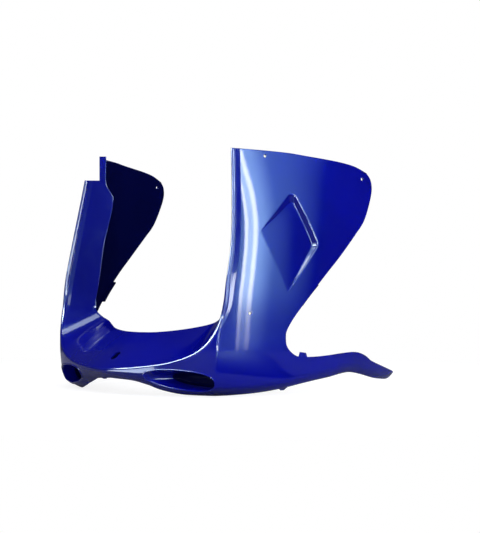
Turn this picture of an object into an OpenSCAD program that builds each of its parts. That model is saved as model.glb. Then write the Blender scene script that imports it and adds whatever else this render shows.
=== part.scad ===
// One-piece leg shield for a step-through motorcycle, a thin moulded shell.
// Two swept wings are joined low down by a cross-band and a short chin.
// Sizes are measured from the nose (y) and from the ground (z), then centred.

/* [Overall] */

// Thickness of the moulded wall
wall = 3; // [2.5:0.1:4]
// Height of the wings at the front edge
wing_top = 486; // [470:1:500]
// Half width at the widest part of the wings
half_width = 305; // [298:1:315]
// Half width at the rear top corner of each wing
top_half_width = 289; // [285:1:296]
// Distance from the nose to the widest part
widest_y = 430; // [420:1:445]
// Distance from the nose to the tip of each tail
tail_tip_y = 574; // [560:1:590]

/* [Front edge of each wing] */

// Half width between the front edges at the top
front_top_x = 203; // [198:1:208]
// Half width between the front edges at half height
front_mid_x = 227; // [223:1:230]
// Half width at the lower corners
corner_x_low = 225; // [221:1:228]
// Setback of the front edge at the top
front_top_y = 157; // [152:1:162]
// Setback of the front edge at half height
front_mid_y = 130; // [126:1:134]
// Setback of the lower corners
corner_y_low = 95; // [91:1:98]
// Width of the inner strip at half height
strip_w = 66; // [60:1:70]
// Width of the inner strip at the top
strip_top_w = 34; // [28:1:40]
// Direction of the inner strip seen from above
strip_angle = 129; // [126:1:132]
// Radius of the rolled bead on the front edge
bead = 2.4; // [1.5:0.1:3]
// Depth of the groove beside the bead
groove = 0.9; // [0.4:0.1:1.2]

/* [Chin and cross-band] */

// Height of the front edge at the nose
nose_z = 51; // [48:1:54]
// Height of the chin's lower edge at the nose
chin_z = 32; // [30:1:35]
// Height of the cross-band's upper edge at the middle
band_z = 121; // [117:1:125]
// Setback of the cross-band's upper edge at the middle
band_y = 100; // [96:1:104]
// Amount that the bottom edge turns in
curl_in = 12; // [8:1:14]
// Height over which the bottom edge turns in
curl_h = 20; // [16:1:24]
// Length of the slot in the cross-band
slot_l = 25; // [20:1:28]
// Width of the slot in the cross-band
slot_w = 15; // [12:1:17]

/* [Air scoops] */

// Length of each scoop's mouth round the corner
mouth_l = 146; // [136:1:148]
// Height of each scoop's mouth
mouth_h = 37; // [33:1:39]
// Depth of each scoop
scoop_depth = 52; // [44:1:56]
// Length of each scoop at its bottom
throat_l = 84; // [74:1:90]
// Height of each scoop at its bottom
throat_h = 20; // [17:1:23]
// Raised lip round each scoop
lip = 1.2; // [0.8:0.1:1.8]

/* [Diamond recess] */

// Depth of the recess along its upper rear edge
recess_depth = 9; // [6:0.5:11]
// Length of the recess from top to bottom
recess_h = 204; // [194:1:208]
// Width of the recess along the wing
recess_w = 129; // [120:1:134]

/* [Screw holes] */

// Diameter of the screw holes
screw_d = 6; // [5:0.1:7]
// Height of the notch below the top of the right wing
notch_h = 51; // [46:1:56]
// Depth of the return flange inside each wing's rear edge
flange_d = 9; // [7:0.5:12]

/* [Hidden] */

// grid counts: down the wing, along the chin, across the wing, along the tail, down the chin
n_wing = 26;
n_chin = 16;
n_side = 12;
n_tail = 16;
n_low = 7;
front_len = 240;
length = tail_tip_y - 0.6;

// smooth curve through keys [[t, value], ...]
function seg(keys, t, i = 0) = (i >= len(keys) - 2 || t <= keys[i + 1][0]) ? i : seg(keys, t, i + 1);
function slope(keys, i) =
    let (a = max(i - 1, 0), b = min(i + 1, len(keys) - 1))
    (keys[b][1] - keys[a][1]) / (keys[b][0] - keys[a][0]);
function curve(keys, t) =
    let (i = seg(keys, t),
         h = keys[i + 1][0] - keys[i][0],
         s = min(1, max(0, (t - keys[i][0]) / h)))
    (2 * s * s * s - 3 * s * s + 1) * keys[i][1]
    + (s * s * s - 2 * s * s + s) * h * slope(keys, i)
    + (3 * s * s - 2 * s * s * s) * keys[i + 1][1]
    + (s * s * s - s * s) * h * slope(keys, i + 1);
function unit(v) = v / norm(v);

// path through points, by length
function run(pts, i = 0, sum = 0) =
    i == len(pts) - 1 ? [sum] : concat([sum], run(pts, i + 1, sum + norm(pts[i + 1] - pts[i])));
function along(pts, runs, t) =
    let (l = t * runs[len(runs) - 1])
    [for (k = [0 : len(pts[0]) - 1]) curve([for (i = [0 : len(pts) - 1]) [runs[i], pts[i][k]]], l)];

// heights on the wing move with its top: drawn_top is the wing's height in the keys below
drawn_top = 486;
foot_z = 111;
function on_wing(z) = foot_z + (z - foot_z) * (wing_top - foot_z) / (drawn_top - foot_z);

// front corner line, as half width and setback over height
line_x = [[0, corner_x_low - 25], [20, corner_x_low - 8], [60, corner_x_low - 1], [120, corner_x_low + 1],
          [on_wing(200), front_mid_x + 3], [on_wing(300), front_mid_x], [on_wing(400), front_top_x + 12], [wing_top, front_top_x]];
line_y = [[0, corner_y_low + 18], [20, corner_y_low + 5], [60, corner_y_low], [120, corner_y_low],
          [on_wing(200), front_mid_y - 22], [on_wing(300), front_mid_y], [on_wing(400), front_top_y - 11], [wing_top, front_top_y]];
fullness = [[0, 2], [on_wing(230), 2], [wing_top, 1.4]];
rear_x = [[0, half_width], [on_wing(330), half_width], [wing_top, top_half_width]];
nose_y = [[20, 22], [chin_z, 12], [nose_z, 0], [130, 0]];

function lx(z) = curve(line_x, z);
function ly(z) = curve(line_y, z);
function side_x(y, z) =
    let (a = (y - ly(z)) / (widest_y - ly(z)), c = curve(fullness, z))
    lx(z) + (curve(rear_x, z) - lx(z)) * (c * a - (c - 1) * a * a);
function side_slope(z) = (curve(rear_x, z) - lx(z)) * curve(fullness, z) / (widest_y - ly(z));

// skin before the bottom edge turns in; p runs back from the corner line and forward as minus
function body(p, z) =
    p >= 0 ? [side_x(ly(z) + p, z), ly(z) + p, z] :
    let (q = 1 + p / front_len,
         m = side_slope(z),
         c = [lx(z), ly(z)],
         b0 = [0, curve(nose_y, z)],
         b1 = b0 + [90, 5],
         b2 = c - 30 * unit([m, 1]),
         r = pow(1 - q, 3) * b0 + 3 * q * pow(1 - q, 2) * b1 + 3 * q * q * (1 - q) * b2 + q * q * q * c)
    [q <= 0.001 ? 0 : r[0], r[1], z];

// lower edge of the skin, as height over p
low_edge = [[-front_len, chin_z], [-193, chin_z - 4], [-168, chin_z - 12], [-146, 12], [-114, 5], [-86, 2],
            [0, 0], [34, 1], [84, 5], [134, 12], [174, 19], [214, 25], [254, 30], [294, 36], [319, 37],
            [354, 31], [394, 22], [424, 18], [454, 16], [474, 20], [tail_tip_y - corner_y_low, 25]];
function low(p) = curve(low_edge, p);

function turn(p, z) = curl_in * pow(max(0, 1 - (z - low(p)) / curl_h), 2);
function ahead(p, z) =
    p <= -front_len + 0.01 ? [1, 0] :
    let (d = body(p + 1, z) - body(max(p - 1, -front_len), z)) unit([d[0], d[1]]);
function skin(p, z) =
    let (t = turn(p, z), b = body(p, z))
    t == 0 ? b : let (a = ahead(p, z)) b - t * [a[1], -a[0], 0];
function out(p, z) =
    let (e = p <= -front_len + 0.01 ? 0 : 1,
         a = e == 0 ? [1, 0, 0] : skin(p + 1, z) - skin(p - 1, z),
         b = skin(p, z + 1) - skin(p, z - 1),
         n = unit(cross(a, b)))
    e == 0 ? unit([0, n[1], n[2]]) : n;

// front edge in p and z, with the free inner edge that belongs to each key
strip_dir = [cos(strip_angle), sin(strip_angle), 0];
function wing_key(z, w) = [0, z, lx(z) + w * strip_dir[0], ly(z) + w * strip_dir[1], z];
edge_keys = [wing_key(wing_top, strip_top_w), wing_key(wing_top - 31, strip_top_w + 5),
             wing_key(wing_top - 61, strip_top_w + 12), wing_key(wing_top - 90, strip_w),
             wing_key(on_wing(300), strip_w), wing_key(on_wing(220), strip_w + 4),
             [-1, 172, 185, 157, 184], [-12, 143, 184, 156, 171], [-36, 113, 182, 155, 160],
             [-56, 96, 167, 158, 148], [-80, 82, 148, 158, 140], [-120, 67, 118, 140, band_z + 11],
             [-160, 59, 84, 118, band_z + 5], [-200, nose_z + 3, 42, 104, band_z + 1],
             [-front_len, nose_z, 0, band_y, band_z]];
edge_run = run([for (k = edge_keys) [k[0], k[1]]]);
n_edge = n_wing + n_chin;
edge_pt = [for (m = [0 : n_edge]) along(edge_keys, edge_run, m / n_edge)];
front = [for (m = [0 : n_edge]) skin(edge_pt[m][0], edge_pt[m][1])];
free = [for (m = [0 : n_edge])
    m == n_edge ? [0, band_y, band_z] : [edge_pt[m][2], edge_pt[m][3], edge_pt[m][4]]];

// unit direction from the front edge into the side skin, in p and z
into = [for (m = [0 : n_edge])
    let (a = edge_pt[max(m - 1, 0)], b = edge_pt[min(m + 1, n_edge)], d = unit([b[0] - a[0], b[1] - a[1]]))
    m == n_edge ? [0, -1] : m == 0 ? [1, 0] : [-d[1], d[0]]];
function near_edge(m, d) = [edge_pt[m][0] + d * into[m][0], edge_pt[m][1] + d * into[m][1]];

// strip normals from neighbouring ribs
strip_n = [for (m = [0 : n_edge])
    let (a = front[max(m - 1, 0)], b = front[min(m + 1, n_edge)],
         n = unit(cross(m == n_edge ? [1, 0, 0] : a - b, free[m] - front[m])))
    m == n_edge ? unit([0, n[1], n[2]]) : n];
skin_n = [for (m = [0 : n_edge]) out(edge_pt[m][0], edge_pt[m][1])];

// profile over the front edge: distance to the strip (minus) or skin side and raise along the normals
bead_w = bead + 0.8;
land = 13;
rise = [[-land, 0], [-7.5, -groove], [-bead_w, -0.2], [0, bead], [bead_w, -0.2], [7.5, -groove], [land, 0]];
strip_steps = [1, 0.66, 0.33];
function side_at(m, d) = let (q = near_edge(m, d)) skin(q[0], q[1]);
function rib_at(m, d) = front[m] + d * unit(free[m] - front[m]);
function rib_outer(m) =
    let (w = norm(free[m] - front[m]))
    concat(
        [for (s = strip_steps) rib_at(m, land + (w - land) * s)],
        [for (r = rise)
            r[0] < 0 ? rib_at(m, -r[0]) + r[1] * strip_n[m] :
            r[0] == 0 ? front[m] + r[1] * unit(strip_n[m] + skin_n[m]) :
            side_at(m, r[0]) + r[1] * skin_n[m]]);
function rib_inner(m) =
    let (w = norm(free[m] - front[m]),
         mitre = front[m] - wall * (strip_n[m] + skin_n[m]) / (1 + strip_n[m] * skin_n[m]),
         q = near_edge(m, land),
         s_end = rib_at(m, land) - wall * strip_n[m],
         p_end = side_at(m, land) - wall * out(q[0], q[1]))
    concat(
        [for (s = strip_steps) rib_at(m, land + (w - land) * s) - wall * strip_n[m]],
        [for (r = rise)
            r[0] == land ? p_end :
            r[0] <= 0 ? mitre + (s_end - mitre) * (-r[0] / land) : mitre + (p_end - mitre) * (r[0] / land)]);
n_rib = len(strip_steps) + len(rise);

// outline of the wing and tail, as distance from the nose and height
top_edge = [[front_top_y, wing_top], [190, wing_top - 1], [272, on_wing(480)], [313, on_wing(475)], [356, on_wing(470)],
            [400, on_wing(464)], [433, on_wing(457)], [464, on_wing(445)]];
rear_edge = [[464, on_wing(445)], [475, on_wing(431)], [477, on_wing(411)], [466, on_wing(380)], [446, on_wing(344)], [420, on_wing(318)],
             [370, on_wing(271)], [333, on_wing(238)], [297, on_wing(203)], [266, on_wing(170)], [246, on_wing(146)], [233, on_wing(124)],
             [232, foot_z]];
tail_edge = [[232, foot_z], [234, 98], [243, 86], [259, 76], [293, 73.5], [337, 75], [378, 78], [417, 79],
             [439, 75], [462, 66], [466, 62], [495, 52], [tail_tip_y, 30]];
rear_run = run(rear_edge);
tail_run = run(tail_edge);

side_s = [for (j = [0 : n_side]) j / n_side];
function start(m) = near_edge(m, land);
function wing_dom(i, j) =
    let (a = start(i),
         r = along(rear_edge, rear_run, pow(i / n_wing, 1.2)),
         b = [r[0] - ly(r[1]), r[1]],
         s = side_s[j],
         c = a + (b - a) * s,
         y = front_top_y + land + (rear_edge[0][0] - front_top_y - land) * s,
         a0 = start(0),
         lift = j == 0 || j == n_side ? 0 : curve(top_edge, y) - (a0[1] + (rear_edge[0][1] - a0[1]) * s))
    [c[0], c[1] + (1 - i / n_wing) * lift];
wing_q = [for (i = [0 : n_wing]) [for (j = [0 : n_side]) wing_dom(i, j)]];

// the low part: chin columns, then the foot of the wing, then the tail
low_top = concat(
    [for (m = [n_edge : -1 : n_wing + 1]) start(m)],
    wing_q[n_wing],
    [for (k = [1 : n_tail]) let (t = along(tail_edge, tail_run, pow(k / n_tail, 1.3)))
        [t[0] - ly(t[1]), t[1]]]);
n_col = len(low_top);
// rows above the bottom edge: close together where it turns in, then even
turn_rows = [0, 2.5, 7, 13, 20];
n_even = n_low - len(turn_rows) + 1;
function row_z(r, top, bottom) =
    let (h = top - bottom,
         k = min(1, h / (2 * curl_h)),
         last = turn_rows[len(turn_rows) - 1] * k,
         b = n_low - r)
    bottom + (b < len(turn_rows) ? turn_rows[b] * k : last + (h - last) * (b - len(turn_rows) + 1) / n_even);
low_q = [for (r = [0 : n_low]) [for (t = low_top) [t[0], r == 0 ? t[1] : row_z(r, t[1], low(t[0]))]]];

function flat(v) = [for (a = v) each a];
rib_o = flat([for (m = [0 : n_edge]) rib_outer(m)]);
rib_i = flat([for (m = [0 : n_edge]) rib_inner(m)]);
wing_o = flat([for (row = wing_q) [for (q = row) skin(q[0], q[1])]]);
wing_i = flat([for (row = wing_q) [for (q = row) skin(q[0], q[1]) - wall * out(q[0], q[1])]]);
low_o = flat([for (row = low_q) [for (q = row) skin(q[0], q[1])]]);
low_i = flat([for (row = low_q) [for (q = row) skin(q[0], q[1]) - wall * out(q[0], q[1])]]);

// faces of a grid of rows and columns that starts at point o
function sheet(o, rows, cols, back, cross_up = false) = [for (r = [0 : rows - 2]) for (c = [0 : cols - 2])
    let (a = o + r * cols + c, b = a + 1, d = a + cols, e = d + 1,
         pair = cross_up ? [[a, b, d], [b, e, d]] : [[a, b, e], [a, e, d]])
    each (back ? pair : [for (t = pair) [t[0], t[2], t[1]]])];
// wall between two matching rows of points
function band(a, b) = [for (i = [0 : len(a) - 2])
    each [[a[i], b[i], b[i + 1]], [a[i], b[i + 1], a[i + 1]]]];

o_rib = 0;
o_rib_i = o_rib + len(rib_o);
o_wing = o_rib_i + len(rib_i);
o_wing_i = o_wing + len(wing_o);
o_low = o_wing_i + len(wing_i);
o_low_i = o_low + len(low_o);
half_pts = concat(rib_o, rib_i, wing_o, wing_i, low_o, low_i);
w_col = n_side + 1;
first_tail = n_chin + n_side;
// open edges, walked so that the walls face out
top_o = concat([for (k = [0 : n_rib - 1]) k], [for (j = [1 : n_side]) o_wing + j]);
top_i = concat([for (k = [0 : n_rib - 1]) o_rib_i + k], [for (j = [1 : n_side]) o_wing_i + j]);
half_faces = concat(
    sheet(o_rib, n_edge + 1, n_rib, true, true),
    sheet(o_rib_i, n_edge + 1, n_rib, false, true),
    sheet(o_wing, n_wing + 1, w_col, true),
    sheet(o_wing_i, n_wing + 1, w_col, false),
    sheet(o_low, n_low + 1, n_col, true),
    sheet(o_low_i, n_low + 1, n_col, false),
    band(top_o, top_i),
    band([for (m = [n_edge : -1 : 0]) m * n_rib], [for (m = [n_edge : -1 : 0]) o_rib_i + m * n_rib]),
    band([for (i = [0 : n_wing]) o_wing + i * w_col + n_side], [for (i = [0 : n_wing]) o_wing_i + i * w_col + n_side]),
    band([for (c = [first_tail : n_col - 1]) o_low + c], [for (c = [first_tail : n_col - 1]) o_low_i + c]),
    band([for (r = [0 : n_low]) o_low + r * n_col + n_col - 1],
         [for (r = [0 : n_low]) o_low_i + r * n_col + n_col - 1]),
    band([for (c = [n_col - 1 : -1 : 0]) o_low + n_low * n_col + c],
         [for (c = [n_col - 1 : -1 : 0]) o_low_i + n_low * n_col + c]));
all_pts = concat(half_pts, [for (p = half_pts) [-p[0], p[1], p[2]]]);
all_faces = concat(half_faces, [for (f = half_faces) [for (k = [2 : -1 : 0]) f[k] + len(half_pts)]]);

module shell() {
    polyhedron(points = all_pts, faces = all_faces, convexity = 8);
}

// point at a depth below the outer skin, by setback and height
function deep(y, z, d) = let (p = y - ly(z)) skin(p, z) - d * out(p, z);

// closed solid between two matching grids of points, each rows by cols; near is the outer one
module slab(near, far, rows, cols) {
    n = rows * cols;
    edge = concat(
        [for (c = [0 : cols - 1]) c],
        [for (r = [1 : rows - 1]) r * cols + cols - 1],
        [for (c = [cols - 2 : -1 : 0]) (rows - 1) * cols + c],
        [for (r = [rows - 2 : -1 : 0]) r * cols]);
    polyhedron(
        points = concat(near, far),
        faces = concat(sheet(0, rows, cols, true), sheet(n, rows, cols, false), band(edge, [for (e = edge) e + n])));
}

// diamond recess: corners as setback and height, then a grid from the flush edge to the deep edge
dia_mid = [251, 301];
dia_at = [dia_mid[0], on_wing(dia_mid[1])];
dia_l = dia_at + [-recess_w / 2, 20];
dia_b = dia_at + [-18, -recess_h / 2];
dia_t = dia_at + [18, recess_h / 2];
dia_r = dia_at + [recess_w / 2, -4];
dia_step = [0, 0.1, 0.3, 0.5, 0.7, 0.9, 1];
dia_n = len(dia_step);
// the top and right corners are blunt
dia_blunt = 0.035;
function dia(a, b, c) =
    let (cut = a < dia_n - 1 ? 0 : b == 0 ? dia_blunt : b == dia_n - 1 ? -dia_blunt : 0,
         u = dia_step[a] - abs(cut),
         v = dia_step[b] + cut)
    (1 - u) * ((1 - v) * c[0] + v * c[3]) + u * ((1 - v) * c[1] + v * c[2]);
rim_c = [dia_l, dia_t, dia_r, dia_b];
floor_c = [dia_l, dia_t + [2, -15], dia_r + [-8, 0], dia_b];
back_c = [dia_l + [-3, 0], dia_t + [0, 3], dia_r + [4, 0], dia_b + [0, -3]];
mouth_c = [for (k = [0 : 3]) rim_c[k] + (rim_c[k] - floor_c[k]) * 0.6];
function fall(a) = -0.6 + (recess_depth + 0.6) * dia_step[a];
function dia_grid(c, base, slope) = [for (b = [0 : dia_n - 1]) for (a = [0 : dia_n - 1])
    let (q = dia(a, b, c)) deep(q[0], q[1], base + slope * fall(a))];
module recess_cut() {
    slab(dia_grid(mouth_c, -6, 0), dia_grid(floor_c, 0, 1), dia_n, dia_n);
}
module recess_back() {
    slab(dia_grid(rim_c, wall / 2, 0), dia_grid(back_c, wall, 1), dia_n, dia_n);
}

// air scoop: an oval mouth on the skin that narrows to a closed bottom
oval_n = 28;
mouth_p = -89;
mouth_z = 31.5;
mouth_tilt = -0.1;
function oval(l, h, k, out_by) =
    let (a = 360 * k / oval_n, c = cos(a), s = sin(a),
         p = (l / 2 + out_by) * sign(c) * pow(abs(c), 0.86),
         z = (h / 2 + out_by) * sign(s) * pow(abs(s), 0.86))
    [mouth_p + p, mouth_z + mouth_tilt * p + z];
function on_mouth(l, h, k, grow, up) =
    let (q = oval(l, h, k, grow)) skin(q[0], q[1]) + up * out(q[0], q[1]);
// one ring of the cup at a share of the depth, with the shape easing towards the bottom
function ring(f, grow, up) = [for (k = [0 : oval_n - 1])
    let (e = pow(f, 0.8),
         q = oval(mouth_l + (throat_l - mouth_l) * e, mouth_h + (throat_h - mouth_h) * e, k, grow))
    skin(q[0], q[1]) + up * out(q[0], q[1]) + [0.1, 1, 0] * f * scoop_depth];
// closed solid through rings of points, with both ends capped
module stack(rings) {
    n = len(rings[0]);
    m = len(rings);
    function mid(r) = [for (k = [0 : 2]) (max([for (p = r) p[k]]) + min([for (p = r) p[k]])) / 2];
    polyhedron(
        points = concat(flat(rings), [mid(rings[0]), mid(rings[m - 1])]),
        faces = concat(
            [for (r = [0 : m - 2]) for (k = [0 : n - 1])
                let (a = r * n + k, b = r * n + (k + 1) % n)
                each [[a, b, b + n], [a, b + n, a + n]]],
            [for (k = [0 : n - 1]) [(k + 1) % n, k, m * n]],
            [for (k = [0 : n - 1]) [(m - 1) * n + k, (m - 1) * n + (k + 1) % n, m * n + 1]]));
}
cup_wall = 2.4;
module scoop_out() {
    stack([ring(0, cup_wall, lip), ring(0, cup_wall + 0.8, -0.8), ring(0.25, cup_wall, 0), ring(0.6, cup_wall, 0),
           ring(1, cup_wall, 0)]);
}
module scoop_in() {
    stack([ring(0, 1, 8), ring(0, 0, lip), ring(0.04, 0, 0), ring(0.3, 0, 0), ring(0.65, 0, 0),
           ring(0.95, 0, 0)]);
}

// small tab on a free edge, from an outline of setback and height
module tab(outline) {
    n = len(outline);
    polyhedron(
        points = concat([for (q = outline) deep(q[0], q[1], 0.4)], [for (q = outline) deep(q[0], q[1], wall - 0.4)]),
        faces = concat(
            [[for (k = [0 : n - 1]) k]], [[for (k = [n - 1 : -1 : 0]) n + k]],
            [for (k = [0 : n - 1]) let (l = (k + 1) % n) [l, k, n + k, n + l]]));
}
module tabs() {
    tab([[262, 70], [266, 84], [280, 82], [285, 70]]);
    tab([[222, 16], [250, 16], [247, 7], [238, 7]]);
}

// return flange inside the lower part of each wing's rear edge
flange_keys = [[272, on_wing(174)], [285, on_wing(188)], [300, on_wing(203)], [313, on_wing(215)]];
module flange() {
    function line(d) = flat([for (q = flange_keys) [deep(q[0] - 0.5, q[1] + 0.5, d), deep(q[0] - 3, q[1] + 3, d)]]);
    slab(line(wall / 2), line(flange_d), len(flange_keys), 2);
}

// screw places, as setback and height, each drilled square to the skin
screw_at = [[front_top_y + 65, wing_top - 14], [widest_y + 20, wing_top - 54], [corner_y_low + 60, 162]];
screw_reach = 16;
module screw(q) {
    p = q[0] - ly(q[1]);
    n = out(p, q[1]);
    translate(skin(p, q[1]))
    rotate([0, acos(n[2]), atan2(n[1], n[0])])
    cylinder(d = screw_d, h = screw_reach, center = true, $fn = 32);
}

module half_cuts() {
    recess_cut();
    scoop_in();
    for (q = screw_at)
        screw(q);
}
module slot() {
    translate([0, 36, 76])
    rotate([atan2(band_z - nose_z, band_y), 0, 0])
    {
        for (k = [-1, 1])
            translate([0, k * (slot_l - slot_w) / 2, 0])
            cylinder(d = slot_w, h = 24, center = true, $fn = 40);
        cube([slot_w, slot_l - slot_w, 24], center = true);
    }
}
module notch() {
    translate([12 - front_top_x, front_top_y + 15, wing_top - notch_h])
    rotate([0, 0, 42])
    translate([-70, -30, 0])
    cube([70, 110, notch_h + 29]);
}
module both() {
    children();
    mirror([1, 0, 0])
    children();
}

module leg_shield() {
    color([0.05, 0.07, 0.6])
    translate([0, (bead - length) / 2, 0])
    difference() {
        union() {
            shell();
            both() {
                recess_back();
                scoop_out();
                tabs();
                flange();
            }
        }
        both()
        half_cuts();
        slot();
        notch();
    }
}

leg_shield();
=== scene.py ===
import math

import bmesh
import bpy
import numpy as np
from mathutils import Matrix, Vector


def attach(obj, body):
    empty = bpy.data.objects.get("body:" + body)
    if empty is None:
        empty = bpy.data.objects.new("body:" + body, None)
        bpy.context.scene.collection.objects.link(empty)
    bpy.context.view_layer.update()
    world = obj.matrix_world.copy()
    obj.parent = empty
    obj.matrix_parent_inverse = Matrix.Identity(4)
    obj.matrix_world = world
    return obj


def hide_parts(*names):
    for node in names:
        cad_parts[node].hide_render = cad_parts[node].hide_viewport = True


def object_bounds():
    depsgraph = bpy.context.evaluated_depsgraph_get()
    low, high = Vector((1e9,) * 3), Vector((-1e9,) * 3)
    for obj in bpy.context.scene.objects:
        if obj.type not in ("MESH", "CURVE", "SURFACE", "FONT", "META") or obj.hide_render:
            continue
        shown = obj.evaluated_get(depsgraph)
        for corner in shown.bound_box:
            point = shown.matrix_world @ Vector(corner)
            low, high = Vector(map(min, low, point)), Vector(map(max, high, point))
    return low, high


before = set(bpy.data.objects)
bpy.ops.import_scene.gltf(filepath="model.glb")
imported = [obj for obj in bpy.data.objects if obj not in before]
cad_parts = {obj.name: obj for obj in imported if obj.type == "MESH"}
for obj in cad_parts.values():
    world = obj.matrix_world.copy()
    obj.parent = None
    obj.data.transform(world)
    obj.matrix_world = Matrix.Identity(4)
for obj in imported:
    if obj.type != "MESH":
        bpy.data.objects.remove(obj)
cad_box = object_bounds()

# Sizes of the shell in millimetres, measured from the nose (y) and from the ground (z).
WALL = 3.0
WING_TOP = 486.0
HALF_WIDTH, TOP_HALF_WIDTH = 305.0, 289.0
WIDEST_Y, TAIL_TIP_Y = 430.0, 574.0
FRONT_TOP_X, FRONT_MID_X, CORNER_X = 203.0, 227.0, 225.0
FRONT_TOP_Y, FRONT_MID_Y, CORNER_Y = 157.0, 130.0, 95.0
STRIP_W, STRIP_TOP_W, STRIP_ANGLE = 66.0, 34.0, math.radians(129)
BEAD = 2.4
NOSE_Z, CHIN_Z, BAND_Z, BAND_Y = 51.0, 32.0, 121.0, 100.0
CURL_IN, CURL_H = 12.0, 20.0
# length of the skin from the front corner to the middle of the nose
FRONT_LEN = 240.0
# the solids stand centred on their own length, which ends a little before the tail's tip
TIP_SHORT = 0.6
NODE_SHIFT_Y = (BEAD - (TAIL_TIP_Y - TIP_SHORT)) / 2

# How fine the surface is: steps down the wing, along the chin, across the wing and along the tail.
N_WING, N_CHIN, N_SIDE, N_TAIL = 104, 64, 48, 56
# ribs on each side of a rib that give its direction
SPAN = 4

# Keys of the outline. The first four lists give a place by its height, the low edge gives a height by
# the distance back from the front corner, and the others are [setback, height] pairs.
LINE_X = [[0, CORNER_X - 25], [20, CORNER_X - 8], [60, CORNER_X - 1], [120, CORNER_X + 1],
          [200, FRONT_MID_X + 3], [300, FRONT_MID_X], [400, FRONT_TOP_X + 12], [WING_TOP, FRONT_TOP_X]]
LINE_Y = [[0, CORNER_Y + 18], [20, CORNER_Y + 5], [60, CORNER_Y], [120, CORNER_Y],
          [200, FRONT_MID_Y - 22], [300, FRONT_MID_Y], [400, FRONT_TOP_Y - 11], [WING_TOP, FRONT_TOP_Y]]
REAR_X = [[0, HALF_WIDTH], [330, HALF_WIDTH], [WING_TOP, TOP_HALF_WIDTH]]
NOSE_Y = [[20, 22], [CHIN_Z, 12], [NOSE_Z, 0], [130, 0]]
LOW_EDGE = [[-FRONT_LEN, CHIN_Z], [-193, CHIN_Z - 4], [-168, CHIN_Z - 12], [-146, 12], [-114, 5],
            [-86, 2], [0, 0], [34, 1], [84, 5], [134, 12], [174, 19], [214, 25], [254, 30], [294, 36],
            [319, 37], [354, 31], [394, 22], [424, 18], [454, 16], [474, 20],
            [TAIL_TIP_Y - CORNER_Y, 25]]
TOP_EDGE = [[FRONT_TOP_Y, WING_TOP], [190, WING_TOP - 1], [272, 480], [313, 475], [356, 470],
            [400, 464], [433, 457], [464, 445]]
REAR_EDGE = [[464, 445], [475, 431], [477, 411], [466, 380], [446, 344], [420, 318], [370, 271],
             [333, 238], [297, 203], [266, 170], [246, 146], [233, 124], [232, 111]]
TAIL_EDGE = [[232, 111], [234, 98], [243, 86], [259, 76], [293, 73.5], [337, 75], [378, 78],
             [417, 79], [439, 75], [462, 66], [466, 62], [495, 52], [TAIL_TIP_Y, 30]]
# bulge of the side skin by height: 1 is straight, 2 is a full bow
FULLNESS = [[0, 2], [230, 2], [WING_TOP, 1.4]]
# handles of the nose's curve, at the middle and at the corner
NOSE_HANDLE, CORNER_HANDLE = [90, 5], 30
# a point this near to the middle plane counts as on it, and so does this share of the nose's curve
ON_MIDDLE, ON_NOSE = 0.01, 0.001


def curve(keys, t):
    """Smooth curve through keys [[t, value], ...], at one t or many."""
    k = np.array(keys, float)
    t = np.asarray(t, float)
    n = len(k) - 1
    before, after = np.maximum(np.arange(n + 1) - 1, 0), np.minimum(np.arange(n + 1) + 1, n)
    slope = (k[after, 1] - k[before, 1]) / (k[after, 0] - k[before, 0])
    i = np.clip(np.searchsorted(k[:, 0], t, side="right") - 1, 0, n - 1)
    h = k[i + 1, 0] - k[i, 0]
    s = np.clip((t - k[i, 0]) / h, 0, 1)
    return ((2 * s**3 - 3 * s**2 + 1) * k[i, 1] + (s**3 - 2 * s**2 + s) * h * slope[i]
            + (3 * s**2 - 2 * s**3) * k[i + 1, 1] + (s**3 - s**2) * h * slope[i + 1])


def along(keys, t):
    """Points at shares t of a smooth path; its length is measured over the first two columns."""
    k = np.array(keys, float)
    steps = np.linalg.norm(np.diff(k[:, :2], axis=0), axis=1)
    runs = np.concatenate([[0], np.cumsum(steps)])
    at = np.asarray(t) * runs[-1]
    return np.stack([curve(np.stack([runs, column], -1), at) for column in k.T], -1)


def unit(v):
    return v / np.maximum(np.linalg.norm(v, axis=-1, keepdims=True), 1e-12)


def bend(a, b, c, s):
    """Value at a share s of the bend from a to c that is drawn toward b."""
    return (1 - s)**2 * a + 2 * s * (1 - s) * b + s * s * c


# A place on the skin is (p, z): the distance back from the front corner, which is below zero on the
# way forward to the nose, and the height.

def line_x(z):
    """Half width at the front edge, by height."""
    return curve(LINE_X, z)


def line_y(z):
    """Setback of the front edge, by height."""
    return curve(LINE_Y, z)


def low(p):
    """Height of the bottom edge."""
    return curve(LOW_EDGE, p)


def place(yz):
    """Places on the skin from [setback, height] pairs."""
    return np.stack([yz[..., 0] - line_y(yz[..., 1]), yz[..., 1]], -1)


def body(p, z):
    """Skin before its bottom edge turns in."""
    p, z = np.broadcast_arrays(np.asarray(p, float), np.asarray(z, float))
    x0, y0, full, rear = line_x(z), line_y(z), curve(FULLNESS, z), curve(REAR_X, z)
    back = np.maximum(p, 0)
    a = back / (WIDEST_Y - y0)
    side = np.stack([x0 + (rear - x0) * (full * a - (full - 1) * a * a), y0 + back, z], -1)
    q = np.clip(1 + p / FRONT_LEN, 0, 1)
    slope = (rear - x0) * full / (WIDEST_Y - y0)
    corner = np.stack([x0, y0], -1)
    middle = np.stack([np.zeros_like(z), curve(NOSE_Y, z)], -1)
    pull = corner - CORNER_HANDLE * unit(np.stack([slope, np.ones_like(slope)], -1))
    w = q[..., None]
    r = ((1 - w)**3 * middle + 3 * w * (1 - w)**2 * (middle + NOSE_HANDLE)
         + 3 * w**2 * (1 - w) * pull + w**3 * corner)
    nose = np.stack([np.where(q <= ON_NOSE, 0, r[..., 0]), r[..., 1], z], -1)
    return np.where((p >= 0)[..., None], side, nose)


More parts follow.
